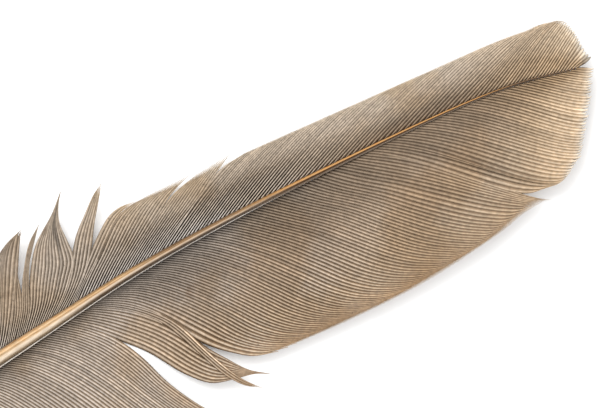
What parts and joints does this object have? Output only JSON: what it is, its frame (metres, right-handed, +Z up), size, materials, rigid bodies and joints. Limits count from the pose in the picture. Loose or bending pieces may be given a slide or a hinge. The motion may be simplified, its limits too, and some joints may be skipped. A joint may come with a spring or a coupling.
{
  "type": "turkey wing feather",
  "caption": "Natural flight feather lying underside up: tapered grooved shaft, narrow leading vane with parted locks, wide trailing vane with splits, and a tuft of down at the quill.",
  "frame": {"origin": "bottom centre of the whole feather as it lies on a flat surface", "axes": "+X from the quill end to the tip, +Y towards the narrow leading vane, +Z up, out of the feather's underside"},
  "size_m": [0.209, 0.0556, 0.0057],
  "materials": {
    "shaft": "satin",
    "vane": "matte",
    "down": "matte"
  },
  "bodies": {
    "root": {"shaft": "shaft", "leading_vane": "vane", "leading_lock_4": "vane", "leading_lock_3": "vane", "leading_lock_2": "vane", "leading_lock_1": "vane", "leading_base_vane": "vane", "trailing_tip_vane": "vane", "trailing_vane": "vane", "trailing_middle_lock": "vane", "trailing_base_vane": "vane", "leading_down": "down", "trailing_down": "down"}
  },
  "joints": []
}
